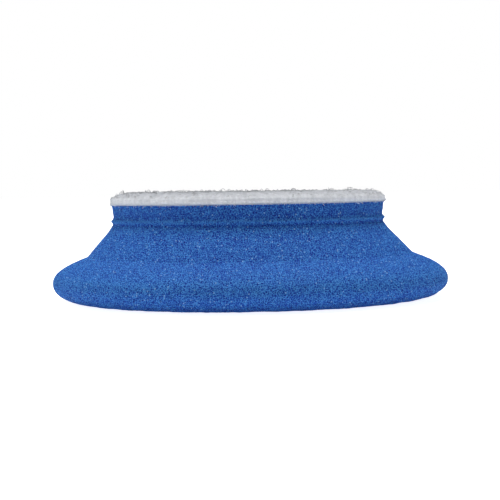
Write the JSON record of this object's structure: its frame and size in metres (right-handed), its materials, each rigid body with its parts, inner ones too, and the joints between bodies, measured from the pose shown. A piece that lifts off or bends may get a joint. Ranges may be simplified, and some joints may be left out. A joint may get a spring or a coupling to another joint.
{
  "type": "foam polishing pad",
  "caption": "Round blue open-cell foam polishing pad with a flared rim, a narrower neck and a white hook-and-loop backing.",
  "frame": {"origin": "centre of the flat working face, on the surface that the pad lies on", "axes": "+Z along the pad's axis, from the working face towards the loop backing; X and Y are alike"},
  "size_m": [0.0774, 0.0774, 0.0214],
  "materials": {
    "blue_foam": "matte",
    "hot_melt_glue": "satin",
    "ground_cloth": "matte",
    "loop_nylon": "matte"
  },
  "bodies": {
    "root": {"foam_body": "blue_foam", "glue_film": "hot_melt_glue", "loop_ground_cloth": "ground_cloth", "loop_pile": "loop_nylon"}
  },
  "joints": []
}
